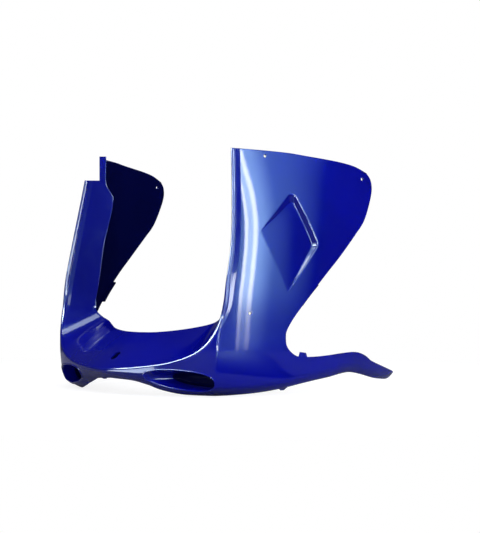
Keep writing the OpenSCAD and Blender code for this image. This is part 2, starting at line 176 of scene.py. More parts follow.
def skin(p, z):
    """Outer surface, with its bottom edge turned in."""
    p, z = np.broadcast_arrays(np.asarray(p, float), np.asarray(z, float))
    turn = CURL_IN * np.maximum(0, 1 - (z - low(p)) / CURL_H)**2
    d = body(p + 1, z) - body(np.maximum(p - 1, -FRONT_LEN), z)
    a = np.where((p <= -FRONT_LEN + ON_MIDDLE)[..., None], [1.0, 0.0], unit(d[..., :2]))
    return body(p, z) - turn[..., None] * np.stack([a[..., 1], -a[..., 0], np.zeros_like(z)], -1)


def out(p, z):
    """Outward unit normal of the outer surface."""
    p, z = np.broadcast_arrays(np.asarray(p, float), np.asarray(z, float))
    middle = (p <= -FRONT_LEN + ON_MIDDLE)[..., None]
    a = np.where(middle, [1.0, 0.0, 0.0], skin(p + 1, z) - skin(p - 1, z))
    n = unit(np.cross(a, skin(p, z + 1) - skin(p, z - 1)))
    return np.where(middle, unit(n * [0, 1, 1]), n)


def deep(yz, depth):
    """Points at one depth or many below the outer surface, from [setback, height] pairs."""
    q = place(np.asarray(yz, float))
    p, z = q[..., 0], q[..., 1]
    return skin(p, z) - np.asarray(depth, float)[..., None] * out(p, z)


# The shell: ribs over the front edge, then the wing, then the low part with the chin and the tail.

def wing_key(z, w):
    """Key of the front edge on the wing: its place, and the strip's free edge at a width w."""
    return [0, z, float(line_x(z)) + w * math.cos(STRIP_ANGLE),
            float(line_y(z)) + w * math.sin(STRIP_ANGLE), z]


# place of the front edge, then the free edge that belongs to it as x, y, z
EDGE_KEYS = [wing_key(WING_TOP, STRIP_TOP_W), wing_key(WING_TOP - 31, STRIP_TOP_W + 5),
             wing_key(WING_TOP - 61, STRIP_TOP_W + 12), wing_key(WING_TOP - 90, STRIP_W),
             wing_key(300, STRIP_W), wing_key(220, STRIP_W + 4),
             [-1, 172, 185, 157, 184], [-12, 143, 184, 156, 171], [-36, 113, 182, 155, 160],
             [-56, 96, 167, 158, 148], [-80, 82, 148, 158, 140], [-120, 67, 118, 140, BAND_Z + 11],
             [-160, 59, 84, 118, BAND_Z + 5], [-200, NOSE_Z + 3, 42, 104, BAND_Z + 1],
             [-FRONT_LEN, NOSE_Z, 0, BAND_Y, BAND_Z]]
# width of the land and groove on each side of the front edge
LAND = 16.0
# radius of the plain rounded crease along the chin, and the share of the front edge at which the
# wings' bead begins to turn into it, and over which it does
CREASE_R = 6.0
CREASE_FROM, CREASE_OVER = 0.4, 0.25
# [distance from the front edge, raise] beside the bead: a narrow land, a step down into the groove,
# and the groove's long slope up to the skin; the land on the strip's side rolls off
GROOVE_SLOPE = [[5.3, -0.3], [5.8, -0.7], [6.6, -0.72], [8, -0.61], [10, -0.46], [12, -0.31],
                [14, -0.155], [15.2, -0.05], [16, 0]]
SIDE_PROFILE = [[0.8, 2.2], [1.8, 2.19], [2.9, 2.17], [4.0, 2.15], [4.4, 1.9], [4.7, 1.2],
                [4.95, 0.4]] + GROOVE_SLOPE
STRIP_PROFILE = [[0.8, 2.15], [1.8, 1.91], [2.9, 1.65], [4.0, 1.38], [4.4, 1.15], [4.7, 0.7],
                 [4.95, 0.2]] + GROOVE_SLOPE
PROFILE_START = SIDE_PROFILE[0][0]
# points across the plain part of the strip, and over the bead or crease
STRIP_COLS, ROUND_COLS = 9, 11


def ribs():
    """Outer and inner points over the front edge, a row for each rib, and the places where they end."""
    n = N_WING + N_CHIN
    steps = np.arange(n + 1)
    e = along(EDGE_KEYS, steps / n)
    p, z = e[:, 0], e[:, 1]
    front, free = skin(p, z), e[:, 2:].copy()
    free[-1] = [0, BAND_Y, BAND_Z]
    front[-1, 0] = 0
    lo, hi = np.maximum(steps - SPAN, 0), np.minimum(steps + SPAN, n)
    d = unit(e[hi, :2] - e[lo, :2])
    into = np.stack([-d[:, 1], d[:, 0]], -1)
    into[0], into[-1] = [1, 0], [0, -1]
    run = front[lo] - front[hi]
    run[-1] = [1, 0, 0]
    strip = unit(free - front)
    width = np.linalg.norm(free - front, axis=1)
    strip_n = unit(np.cross(run, strip))
    strip_n[-1, 0] = 0
    strip_n = unit(strip_n)
    skin_n = out(p, z)

    def side_at(dist):
        return skin(p + dist * into[:, 0], z + dist * into[:, 1])

    # 0 on the wings, where the edge is a bead, and 1 along the chin, where it is a crease
    share = np.clip((steps / n - CREASE_FROM) / CREASE_OVER, 0, 1)
    share = (share * share * (3 - 2 * share))[:, None]
    turn = np.arccos(np.clip((strip_n * skin_n).sum(-1), -1, 1))[:, None]
    radius = BEAD + (CREASE_R - BEAD) * share
    centre = front - share * CREASE_R / np.cos(turn / 2) * unit(strip_n + skin_n)
    crease_reach = CREASE_R * np.tan(turn / 2)

    def beside(w, h):
        """Distance and raise of one profile key; along the chin it flattens beside the crease."""
        spread = crease_reach + (LAND - crease_reach) * (w - PROFILE_START) / (LAND - PROFILE_START)
        return w * (1 - share) + np.maximum(spread, w) * share, h * (1 - share)

    # the columns and their distances from the front edge, with those on the strip below zero
    strip_dist = [LAND + (width - LAND) * s for s in np.linspace(1, 0, STRIP_COLS)[:-1]]
    cols = [front + w[:, None] * strip for w in strip_dist]
    dist = [-LAND] * len(cols)
    for w, h in STRIP_PROFILE[::-1]:
        d, lift = beside(w, h)
        cols.append(front + d * strip + lift * strip_n)
        dist.append(-w)
    for f in np.linspace(0, 1, ROUND_COLS):
        v = (np.sin((1 - f) * turn) * strip_n + np.sin(f * turn) * skin_n) / np.sin(turn)
        cols.append(centre + radius * v)
        dist.append(f - 0.5)
    for w, h in SIDE_PROFILE:
        d, lift = beside(w, h)
        cols.append(side_at(d[:, 0]) + lift * skin_n)
        dist.append(w)
    outer = np.stack(cols, 1)

    mitre = front - WALL * (strip_n + skin_n) / (1 + (strip_n * skin_n).sum(-1, keepdims=True))
    strip_end = front + LAND * strip - WALL * strip_n
    ends = np.stack([p + LAND * into[:, 0], z + LAND * into[:, 1]], -1)
    side_end = side_at(LAND) - WALL * out(ends[:, 0], ends[:, 1])
    inner = [front + w[:, None] * strip - WALL * strip_n for w in strip_dist]
    for w in dist[len(strip_dist):]:
        end = strip_end if w <= 0 else side_end
        inner.append(mitre + (end - mitre) * (abs(w) / LAND))
    inner = np.stack(inner, 1)
    outer[-1, :, 0] = 0
    inner[-1, :, 0] = 0
    return outer, inner, ends


def skins(q):
    """Outer and inner points for a grid of places on the skin."""
    o, n = skin(q[..., 0], q[..., 1]), out(q[..., 0], q[..., 1])
    return o, o - WALL * n


# powers that crowd the rows toward the wing's top and the columns toward the tail's foot
REAR_CROWD, TAIL_CROWD = 1.2, 1.3


def wing_places(start):
    """Grid of places over the wing, from the ends of the ribs to the rear edge."""
    i = np.arange(N_WING + 1)[:, None] / N_WING
    s = np.arange(N_SIDE + 1)[None, :] / N_SIDE
    b = place(along(REAR_EDGE, i[:, 0]**REAR_CROWD))
    a = start[:N_WING + 1]
    q = a[:, None] + (b - a)[:, None] * s[..., None]
    rear_y, rear_z = REAR_EDGE[0]
    y = FRONT_TOP_Y + LAND + (rear_y - FRONT_TOP_Y - LAND) * s[0]
    lift = curve(TOP_EDGE, y) - (a[0, 1] + (rear_z - a[0, 1]) * s[0])
    lift[0] = lift[-1] = 0
    q[..., 1] += (1 - i) * lift[None, :]
    return q


# heights of the rows over the turned-in bottom edge, and the number of even rows above them
TURN_ROWS = np.array([0, 1.2, 2.5, 4.5, 7, 10, 13, 16.5, 20])
EVEN_ROWS = 13


def low_places(start, foot):
    """Grid of places below the chin's crease, the wing's foot and the tail's upper edge."""
    tail = place(along(TAIL_EDGE, (np.arange(1, N_TAIL + 1) / N_TAIL)**TAIL_CROWD))
    top = np.concatenate([start[:N_WING:-1], foot, tail])
    bottom = low(top[:, 0])
    h = top[:, 1] - bottom
    k = np.minimum(1, h / (2 * CURL_H))
    rows = [top[:, 1]]
    for e in range(EVEN_ROWS - 1, 0, -1):
        rows.append(bottom + TURN_ROWS[-1] * k + (h - TURN_ROWS[-1] * k) * e / EVEN_ROWS)
    for t in TURN_ROWS[::-1]:
        rows.append(bottom + t * k)
    rows = np.stack(rows, 0)
    return np.stack([np.broadcast_to(top[:, 0], rows.shape), rows], -1)


# Which paint a face has: the material index of the outer paint, or of the dark inner one, which is
# partly the moulded inside's own colour and partly painted shade.
OUTER, INNER_AND_SHADE = 0, 1


def sheet(first, rows, cols, kind):
    """Faces over a grid of points that starts at an index; the inner ones face the other way."""
    idx = first + np.arange(rows * cols).reshape(rows, cols)
    a, b, c, d = idx[:-1, :-1], idx[:-1, 1:], idx[1:, 1:], idx[1:, :-1]
    quads = np.stack([a, b, c, d] if kind == OUTER else [a, d, c, b], -1).reshape(-1, 4)
    return quads.tolist()


# radius of the rounded rim of the open edges, the shares of it by which the rim's first and last rows
# stand back from the edge and in from the faces, and the decimals by which shared points are found
EDGE_ROUND = 0.8
RIM_BACK, RIM_IN = 0.25, 0.3
SAME_PLACE = 4


def half_shell():
    """Points, faces and kinds of the left half, whose open edges are closed by a rounded rim."""
    rib_o, rib_i, start = ribs()
    wing = wing_places(start)
    low_q = low_places(start, wing[-1])
    wing_o, wing_i = skins(wing)
    low_o, low_i = skins(low_q)
    low_o[:, 0, 0] = low_i[:, 0, 0] = 0
    grids = [rib_o, rib_i, wing_o, wing_i, low_o, low_i]
    firsts = np.concatenate([[0], np.cumsum([g.shape[0] * g.shape[1] for g in grids])]).tolist()
    pts = np.concatenate([g.reshape(-1, 3) for g in grids])
    faces, kinds = [], []
    for g, first, kind in zip(grids, firsts, (OUTER, INNER_AND_SHADE) * 3):
        f = sheet(first, g.shape[0], g.shape[1], kind)
        faces += f
        kinds += [kind] * len(f)
    rib_n, wing_n, low_n, low_rows = rib_o.shape[1], wing.shape[1], low_q.shape[1], low_q.shape[0]

    def edge_of(side):
        """Indices round the open edge of the outer (0) or inner (1) surface."""
        r, w, l = firsts[side], firsts[2 + side], firsts[4 + side]
        free = [r + m * rib_n for m in range(N_WING + N_CHIN, 0, -1)]
        top = [r + k for k in range(rib_n)] + [w + j for j in range(1, wing_n)]
        rear = [w + i * wing_n + wing_n - 1 for i in range(1, N_WING + 1)]
        tail = [l + c for c in range(N_CHIN + N_SIDE + 1, low_n)]
        tip = [l + k * low_n + low_n - 1 for k in range(1, low_rows)]
        bottom = [l + (low_rows - 1) * low_n + c for c in range(low_n - 2, -1, -1)]
        return free + top + rear + tail + tip + bottom

    oi, ii = np.array(edge_of(OUTER)), np.array(edge_of(INNER_AND_SHADE))
    o, i = pts[oi].copy(), pts[ii].copy()
    t = np.empty_like(o)
    t[1:-1] = o[2:] - o[:-2]
    t[0], t[-1] = [1, 0, 0], [-1, 0, 0]
    n = unit(o - i)
    away = unit(np.cross(t, n))
    # a point three columns in from the wing's rear edge tells which way leads off the shell
    rear_point = firsts[2] + 4 * wing_n - 1
    k = list(oi).index(rear_point)
    if ((pts[rear_point - 3] - o[k]) * away[k]).sum() > 0:
        away = -away
    r = EDGE_ROUND
    rim = [o - RIM_BACK * r * away - RIM_IN * r * n, o - r * n,
           i + r * n, i - RIM_BACK * r * away + RIM_IN * r * n]
    # every grid point that shares a place with the rim moves with it
    for old, new in ((o, o - r * away), (i, i - r * away)):
        moved = {tuple(np.round(v, SAME_PLACE)): w for v, w in zip(old, new)}
        for j in range(len(pts)):
            w = moved.get(tuple(np.round(pts[j], SAME_PLACE)))
            if w is not None:
                pts[j] = w
    base, count = len(pts), len(o)
    pts = np.concatenate([pts] + rim)
    chain = [oi] + [base + k * count + np.arange(count) for k in range(len(rim))] + [ii]
    for u, v in zip(chain[:-1], chain[1:]):
        for k in range(count - 1):
            faces.append([int(u[k]), int(u[k + 1]), int(v[k + 1]), int(v[k])])
            kinds.append(OUTER)
    return pts, faces, kinds


def mirrored(pts, faces, kinds):
    """The left half with its mirror image, whose faces are turned round."""
    n = len(pts)
    other = [[i + n for i in f[::-1]] for f in faces]
    return np.concatenate([pts, pts * [-1, 1, 1]]), faces + other, kinds * 2


# What is added to the shell and what is cut from it. A solid is (points, faces, kinds).

def painted(pts, faces, dark_from=math.inf):
    """A solid in the outer paint, with the dark inner one, partly painted shade, on faces whose points
    come at or after an index.
    """
    return pts, faces, [INNER_AND_SHADE if f[0] >= dark_from else OUTER for f in faces]


def stack(rings, dark_from=math.inf):
    """Closed solid through rings of points, with a fan on both ends, in the dark inner paint (partly
    painted shade) from one ring on.
    """
    m, n = len(rings), len(rings[0])
    pts = np.concatenate(list(rings) + [rings[0].mean(0)[None], rings[-1].mean(0)[None]])
    faces = []
    for r in range(m - 1):
        for k in range(n):
            a, b = r * n + k, r * n + (k + 1) % n
            faces.append([a, b, b + n, a + n])
    for k in range(n):
        faces.append([(k + 1) % n, k, m * n])
        faces.append([(m - 1) * n + k, (m - 1) * n + (k + 1) % n, m * n + 1])
    return painted(pts, faces, dark_from * n)


# The diamond recess, by the setbacks and heights of its corners: front, top, rear and bottom. The
# floor and the back of its pocket have their corners beside the rim's.
RECESS_W, RECESS_H, RECESS_DEPTH = 129.0, 204.0, 9.0
DIA_MID = np.array([251.0, 301.0])
DIA = DIA_MID + [[-RECESS_W / 2, 20], [18, RECESS_H / 2], [RECESS_W / 2, -4], [-18, -RECESS_H / 2]]
FLOOR = DIA + [[0, 0], [2, -15], [-8, 0], [0, 0]]
BACK = DIA + [[-3, 0], [0, 3], [4, 0], [0, -3]]
CORNER_R = [3.0, 9.0, 14.0, 4.0]
# points round each corner, and steps along each side
CORNER_STEPS, SIDE_STEPS = 9, 14
# raise of the cutter over the flush edge, sink of the pocket's back into the wall, and the height from
# which the cutter comes
FLUSH_OVER, BACK_SINK, CUT_ABOVE = 0.4, 0.1, 4.0
# width of the rounding outside the rim, its raise, the depth at which it has its full width, and how
# far down the sloping wall it ends; at the rim itself it dips by a share of the depth, up to a most
RIM_ROUND, RIM_RAISE, RIM_FULL_AT, RIM_SHARE = 2.8, 0.03, 3.0, 0.22
DIP_SHARE, DIP_MOST = 0.05, 0.1
# where the rounding at the wall's foot begins on the wall, and how far onto the floor it runs
FOOT_SHARE, FOOT_ROUND = 0.8, 1.6
# the rings of the cutter over the rim's rounding, over the foot's, and from the floor's edge to its
# middle, and the rings of the pocket inside the wall and on its back
RIM_RINGS, FOOT_RINGS = (0.25, 0.5, 0.75, 1.0), (0.0, 0.3, 0.6, 1.0)
FLOOR_RINGS = (0.86, 0.7, 0.54, 0.38, 0.22, 0.08)
POCKET_RINGS, BACK_RINGS = (0.1, 0.4, 0.7, 1.0), (1.0, 0.85, 0.6, 0.35, 0.1)
NEWTON_STEPS = 12


def rounded(corners, radii):
    """Closed outline through four corners, each rounded by its own radius."""
    arcs = []
    for k in range(4):
        c, a, b = corners[k], corners[k - 1], corners[(k + 1) % 4]
        u, v = unit(a - c), unit(b - c)
        half = math.acos(float(np.clip(u @ v, -1, 1))) / 2
        reach = radii[k] / math.tan(half)
        centre = c + unit(u + v) * radii[k] / math.sin(half)
        p0, p1 = c + u * reach - centre, c + v * reach - centre
        w = math.acos(float(np.clip(unit(p0) @ unit(p1), -1, 1)))
        arcs.append(np.array([centre + (math.sin((1 - f) * w) * p0 + math.sin(f * w) * p1) / math.sin(w)
                              for f in np.linspace(0, 1, CORNER_STEPS)]))
    ring = []
    for k in range(4):
        a, b = arcs[k][-1], arcs[(k + 1) % 4][0]
        ring += [arcs[k], a + (b - a) * np.linspace(0, 1, SIDE_STEPS + 1)[1:-1, None]]
    return np.concatenate(ring)


def quad_at(c, u, v):
    """Points at shares (u, v) of the quadrilateral with corners c."""
    u, v = u[..., None], v[..., None]
    return (1 - u) * ((1 - v) * c[0] + v * c[3]) + u * ((1 - v) * c[1] + v * c[2])


def quad_share(q, c):
    """Shares (u, v) of points within the quadrilateral, by a few Newton steps."""
    u, v = np.full(len(q), 0.5), np.full(len(q), 0.5)
    for _ in range(NEWTON_STEPS):
        e = quad_at(c, u, v) - q
        du = (1 - v)[:, None] * (c[1] - c[0]) + v[:, None] * (c[2] - c[3])
        dv = (1 - u)[:, None] * (c[3] - c[0]) + u[:, None] * (c[2] - c[1])
        det = du[:, 0] * dv[:, 1] - du[:, 1] * dv[:, 0]
        u = u - (e[:, 0] * dv[:, 1] - e[:, 1] * dv[:, 0]) / det
        v = v - (du[:, 0] * e[:, 1] - du[:, 1] * e[:, 0]) / det
    return u, v


def recess_fall(u):
    """Depth of the recess, from its flush edge at u = 0 to its deepest edge at u = 1."""
    return -FLUSH_OVER + (RECESS_DEPTH + FLUSH_OVER) * np.clip(u, 0, 1)


def recess():
    """Cutter and backing of the diamond recess, flush on one edge and deepest on the opposite one."""
    rim = rounded(DIA, CORNER_R)
    t = unit(np.roll(rim, -1, 0) - np.roll(rim, 1, 0))
    away = np.stack([t[:, 1], -t[:, 0]], -1)
    if ((rim - rim.mean(0)) * away).sum() < 0:
        away = -away
    u, v = quad_share(rim, DIA)
    fall = recess_fall(u)
    foot = quad_at(FLOOR, u, v)
    wall = foot - rim
    wide = rim + RIM_ROUND * np.clip(fall / RIM_FULL_AT, 0, 1)[:, None] * away
    rings = [deep(wide, -CUT_ABOVE), deep(wide, -RIM_RAISE)]
    for s in RIM_RINGS:
        depth = bend(-RIM_RAISE, np.minimum(fall * DIP_SHARE, DIP_MOST), RIM_SHARE * fall, s)
        rings.append(deep(bend(wide, rim, rim + RIM_SHARE * wall, s), depth))
    floor_mid = foot.mean(0)
    floor_edge = foot + FOOT_ROUND * unit(floor_mid - foot)
    for s in FOOT_RINGS:
        q = bend(rim + FOOT_SHARE * wall, foot, floor_edge, s)
        flat = recess_fall(quad_share(q, FLOOR)[0])
        rings.append(deep(q, bend(FOOT_SHARE * fall, flat, flat, s)))
    for f in FLOOR_RINGS:
        q = floor_mid + (floor_edge - floor_mid) * f
        rings.append(deep(q, recess_fall(quad_share(q, FLOOR)[0])))

    rim_mid = rim.mean(0)
    pocket = [deep(rim_mid + (rim - rim_mid) * f, WALL / 2) for f in POCKET_RINGS]
    back = quad_at(BACK, u, v)
    back_mid = back.mean(0)
    for f in BACK_RINGS:
        q = back_mid + (back - back_mid) * f
        share = np.clip(quad_share(q, BACK)[0], 0, 1)
        pocket.append(deep(q, WALL - BACK_SINK + (RECESS_DEPTH + BACK_SINK) * share))
    return stack(rings), stack(pocket, dark_from=0)


# The air scoops: mouth, throat, lip, and the mouth's place, tilt and squareness.
MOUTH_L, MOUTH_H, THROAT_L, THROAT_H = 146.0, 37.0, 84.0, 20.0
SCOOP_DEPTH, LIP, CUP_WALL = 52.0, 1.2, 2.4
MOUTH_P, MOUTH_Z, MOUTH_TILT, MOUTH_POWER = -89.0, 31.5, -0.1, 0.86
OVAL_STEPS = 112
# power of the depth by which the scoop narrows, and the way in which it runs back
NARROWING, SCOOP_RUN = 0.8, np.array([0.1, 1, 0])
# (growth beyond the mouth, raise above the skin) of the body's and the cutter's rings at the mouth
LIP_RINGS = ((0.6, LIP - 0.4), (1.2, LIP), (1.9, LIP), (2.6, LIP - 0.35), (3.0, 0.35), (3.2, -0.8))
MOUTH_RINGS = ((1.6, 8), (1.5, LIP + 0.1), (0.9, LIP - 0.25), (0.35, 0.2), (0, -0.6))
# shares of the depth at which the rings behind them lie, and (share, growth) at the cutter's end
BODY_SHARES = (0.2, 0.35, 0.5, 0.65, 0.8, 0.92, 1)
CUT_SHARES = (0.05, 0.12, 0.22, 0.34, 0.46, 0.58, 0.7, 0.8, 0.88)
END_RINGS = ((0.93, -1.5), (0.95, -4))
# rings from which the body behind its lip takes the dark inner paint, and from which the deep part of
# the throat takes it as painted shade
BODY_DARK, THROAT_PAINTED_SHADE = 5, 11


def scoop_ring(f, grow, up):
    """One ring of a scoop at a share of its depth, grown by a margin and raised above the skin."""
    a = 2 * math.pi * np.arange(OVAL_STEPS) / OVAL_STEPS
    c, s, e = np.cos(a), np.sin(a), f**NARROWING
    l, h = MOUTH_L + (THROAT_L - MOUTH_L) * e, MOUTH_H + (THROAT_H - MOUTH_H) * e
    p = (l / 2 + grow) * np.sign(c) * np.abs(c)**MOUTH_POWER
    z = (h / 2 + grow) * np.sign(s) * np.abs(s)**MOUTH_POWER
    p, z = MOUTH_P + p, MOUTH_Z + MOUTH_TILT * p + z
    return skin(p, z) + up * out(p, z) + SCOOP_RUN * f * SCOOP_DEPTH


def scoop():
    """Cutter and body of an air scoop, with a rolled lip round its mouth."""
    cutter = [scoop_ring(0, grow, up) for grow, up in MOUTH_RINGS]
    cutter += [scoop_ring(f, 0, 0) for f in CUT_SHARES]
    cutter += [scoop_ring(f, grow, 0) for f, grow in END_RINGS]
    cup = [scoop_ring(0, grow, up) for grow, up in LIP_RINGS]
    cup += [scoop_ring(f, CUP_WALL, 0) for f in BODY_SHARES]
    # the deep part of the throat is painted dark: painted shade in the same blue paint
    return stack(cutter, THROAT_PAINTED_SHADE), stack(cup, BODY_DARK)


# outlines of the locating tabs above the tail and below the chin, sunk below both faces of the wall
TABS = ([[262, 70], [266, 84], [280, 82], [285, 70]], [[222, 16], [250, 16], [247, 7], [238, 7]])
TAB_SINK = 0.4


def tab(outline):
    """A flat tab within the wall, by its outline's setbacks and heights."""
    n = len(outline)
    pts = np.concatenate([deep(outline, TAB_SINK), deep(outline, WALL - TAB_SINK)])
    faces = [list(range(n)), list(range(2 * n - 1, n - 1, -1))]
    faces += [[(k + 1) % n, k, n + k, n + (k + 1) % n] for k in range(n)]
    return painted(pts, faces)


# the return flange inside the wing's rear edge: its path, depth, steps, and how far its two faces stand
# in from the edge
FLANGE_KEYS = [[272, 174], [285, 188], [300, 203], [313, 215]]
FLANGE_DEPTH, FLANGE_STEPS = 9.0, 13
FLANGE_NEAR, FLANGE_FAR = np.array([-0.5, 0.5]), np.array([-3, 3])


def flange():
    """The return flange, as a bar of four faces along its path."""
    q = along(FLANGE_KEYS, np.linspace(0, 1, FLANGE_STEPS))
    n = len(q)
    pts = np.concatenate([deep(q + FLANGE_NEAR, WALL / 2), deep(q + FLANGE_FAR, WALL / 2),
                          deep(q + FLANGE_FAR, FLANGE_DEPTH), deep(q + FLANGE_NEAR, FLANGE_DEPTH)])
    faces = [[k * n + j, k * n + j + 1, (k + 1) % 4 * n + j + 1, (k + 1) % 4 * n + j]
             for k in range(4) for j in range(n - 1)]
    faces += [[0, n, 2 * n, 3 * n], [n - 1, 4 * n - 1, 3 * n - 1, 2 * n - 1]]
    return painted(pts, faces, dark_from=0)


# setback and height of each screw hole, its radius, and (growth, raise above the skin) of the
# cutter's rings, which ease the hole's outer edge
SCREWS = ((FRONT_TOP_Y + 65, WING_TOP - 14), (WIDEST_Y + 20, WING_TOP - 54), (CORNER_Y + 60, 162))
SCREW_R, SCREW_STEPS = 3.0, 40
SCREW_RINGS = ((0.8, 6), (0.8, 0.15), (0.35, -0.15), (0, -0.6), (0, -8))


def screw(y, z):
    """Cutter of a screw hole, square to the skin at a setback and height."""
    p = y - float(line_y(z))
    at, n = skin(p, z), out(p, z)
    u = unit(np.cross(n, [0, 0, 1.0]))
    v = np.cross(n, u)
    a = 2 * math.pi * np.arange(SCREW_STEPS)[:, None] / SCREW_STEPS
    ring = np.cos(a) * u + np.sin(a) * v
    return stack([at + (SCREW_R + grow) * ring + up * n for grow, up in SCREW_RINGS])


# the slot in the cross-band, its middle, and how far its cutter reaches along its own axis
SLOT_L, SLOT_W, SLOT_STEPS = 25.0, 15.0, 64
SLOT_AT = np.array([0, 36, 76.0])
SLOT_REACH = (12.0, 2.0, -12.0)


def slot():
    """Cutter of the slot, square to the cross-band's slope."""
    tilt = math.atan2(BAND_Z - NOSE_Z, BAND_Y)
    a = 2 * math.pi * np.arange(SLOT_STEPS) / SLOT_STEPS
    x = SLOT_W / 2 * np.sin(a)
    y = SLOT_W / 2 * -np.cos(a) + np.sign(-np.cos(a)) * (SLOT_L - SLOT_W) / 2
    return stack([np.stack([x, y * math.cos(tilt) - z * math.sin(tilt),
                            y * math.sin(tilt) + z * math.cos(tilt)], -1) + SLOT_AT
                  for z in SLOT_REACH])


# the notch at the top of the right-hand wing's strip: its height, the plan of its cutter before it is
# turned, the turn, where its corner stands, and the cutter's reach above the wing
NOTCH_H, NOTCH_TURN, NOTCH_ABOVE = 51.0, math.radians(42), 29
NOTCH_PLAN = np.array([[-70, -30], [0, -30], [0, 80], [-70, 80]], float)
NOTCH_AT = [12 - FRONT_TOP_X, FRONT_TOP_Y + 15]


def notch():
    """Cutter of the notch, a turned block that is open toward the top."""
    c, s = math.cos(NOTCH_TURN), math.sin(NOTCH_TURN)
    x, y = NOTCH_PLAN.T
    plan = np.stack([x * c - y * s, x * s + y * c], -1) + NOTCH_AT
    return stack([np.column_stack([plan, np.full(len(plan), z)])
                  for z in (WING_TOP - NOTCH_H, WING_TOP + NOTCH_ABOVE)])


def joined(solids):
    """Solids as one list of points, faces and kinds."""
    pts, faces, kinds, base = [], [], [], 0
    for p, f, k in solids:
        pts.append(p)
        faces += [[i + base for i in g] for g in f]
        kinds += k
        base += len(p)
    return np.concatenate(pts), faces, kinds


def both_sides(solids):
    """Solids of the left side with those of the right."""
    return [(p * [side, 1, 1], f, k) for side in (1, -1) for p, f, k in solids]


# The paint, as node materials.

def node(tree, kind, **inputs):
    """A new node with values for its inputs, by name with underscores for spaces."""
    n = tree.nodes.new(kind)
    for key, value in inputs.items():
        n.inputs[key.replace("_", " ")].default_value = value
    return n


def ramp(tree, source, stops):
    """Colour ramp over a value, by stops of a position and a grey or a colour."""
    r = tree.nodes.new("ShaderNodeValToRGB")
    elements = r.color_ramp.elements
    while len(elements) < len(stops):
        elements.new(0.5)
    for e, (position, value) in zip(elements, stops):
        e.position = position
        e.color = (*value, 1) if isinstance(value, tuple) else (value, value, value, 1)
    tree.links.new(source, r.inputs["Fac"])
    return r.outputs["Color"]


def mix_colour(tree, fac, a, b):
    """Mix of two colours, each a plain colour or another node's."""
    x = tree.nodes.new("ShaderNodeMix")
    x.data_type = "RGBA"
    tree.links.new(fac, x.inputs[0])
    for socket, value in ((x.inputs[6], a), (x.inputs[7], b)):
        if isinstance(value, tuple):
            socket.default_value = (*value, 1)
        else:
            tree.links.new(value, socket)
    return x.outputs[2]


def mix_shader(tree, fac, a, b):
    """Shader a where the factor is 0, and b where it is 1."""
    x = tree.nodes.new("ShaderNodeMixShader")
    tree.links.new(fac, x.inputs["Fac"])
    tree.links.new(a, x.inputs[1])
    tree.links.new(b, x.inputs[2])
    return x.outputs["Shader"]


# tint of the highlights, roughness of the clear coat, darker and lighter share of the colour's drift,
# and what is added to red and green, and blue's share, where an edge is worn pale
TINT, COAT_ROUGH = (0.45, 0.8, 1.0, 1), 0.03
DRIFT_DARK, DRIFT_LIGHT = 0.86, 1.12
WORN_RED, WORN_GREEN, WORN_BLUE = 0.01, 0.016, 1.3
# scales of the drift, the scuffs and the orange peel, the roughness that scuffs add, and the peel's
# height in metres
DRIFT_SCALE, SCUFF_SCALE, PEEL_SCALE = 5.5, 38, 260
SCUFF_ROUGH, PEEL_STRENGTH, PEEL_HEIGHT = 0.09, 0.05, 0.0002


def paint(name, colour, rough, coat, gloss, ior):
    """Gloss paint over moulded plastic, with colour drift, orange peel, faint scuffs and worn edges."""
    m = bpy.data.materials.new(name)
    m.use_nodes = True
    t = m.node_tree
    bsdf = t.nodes["Principled BSDF"]
    for key, value in (("IOR", ior), ("Specular IOR Level", gloss), ("Specular Tint", TINT),
                       ("Coat Weight", coat), ("Coat Roughness", COAT_ROUGH)):
        bsdf.inputs[key].default_value = value
    where = t.nodes.new("ShaderNodeTexCoord").outputs["Object"]

    def noise(scale, detail, roughness=0.5):
        n = node(t, "ShaderNodeTexNoise", Scale=scale, Detail=detail, Roughness=roughness)
        t.links.new(where, n.inputs["Vector"])
        return n.outputs["Fac"]

    red, green, blue = colour
    dark = tuple(c * DRIFT_DARK for c in colour)
    light = tuple(min(1, c * DRIFT_LIGHT) for c in colour)
    pale = (red + WORN_RED, green + WORN_GREEN, min(1, blue * WORN_BLUE))
    drift = mix_colour(t, ramp(t, noise(DRIFT_SCALE, 2), [(0.35, 0.0), (0.65, 1.0)]), dark, light)
    pointed = t.nodes.new("ShaderNodeNewGeometry").outputs["Pointiness"]
    worn = mix_colour(t, ramp(t, pointed, [(0.54, 0.0), (0.62, 0.3)]), drift, pale)
    t.links.new(worn, bsdf.inputs["Base Color"])
    scuff = ramp(t, noise(SCUFF_SCALE, 6, 0.7), [(0.52, rough), (0.74, rough + SCUFF_ROUGH)])
    t.links.new(scuff, bsdf.inputs["Roughness"])
    peel = node(t, "ShaderNodeBump", Strength=PEEL_STRENGTH, Distance=PEEL_HEIGHT)
    t.links.new(noise(PEEL_SCALE, 2), peel.inputs["Height"])
    for key in ("Normal", "Coat Normal"):
        t.links.new(peel.outputs["Normal"], bsdf.inputs[key])
    return m


# in the order of OUTER and INNER_AND_SHADE; the inner paint is partly the moulded inside's own blue and
# partly painted shade, darker than the plastic is
PAINTS = (paint("blue_gloss_paint", (0.0012, 0.0022, 0.27), rough=0.17, coat=0.65, gloss=0.35, ior=1.5),
          paint("blue_inner_face_and_painted_shade", (0.001, 0.002, 0.045), rough=0.45, coat=0.05, gloss=0.1, ior=1.1))

# The shell is made, the rest is added and cut, and it takes the place of the solid.

MM = 1000
# points nearer than this, in metres, are one point
WELD = 2e-6


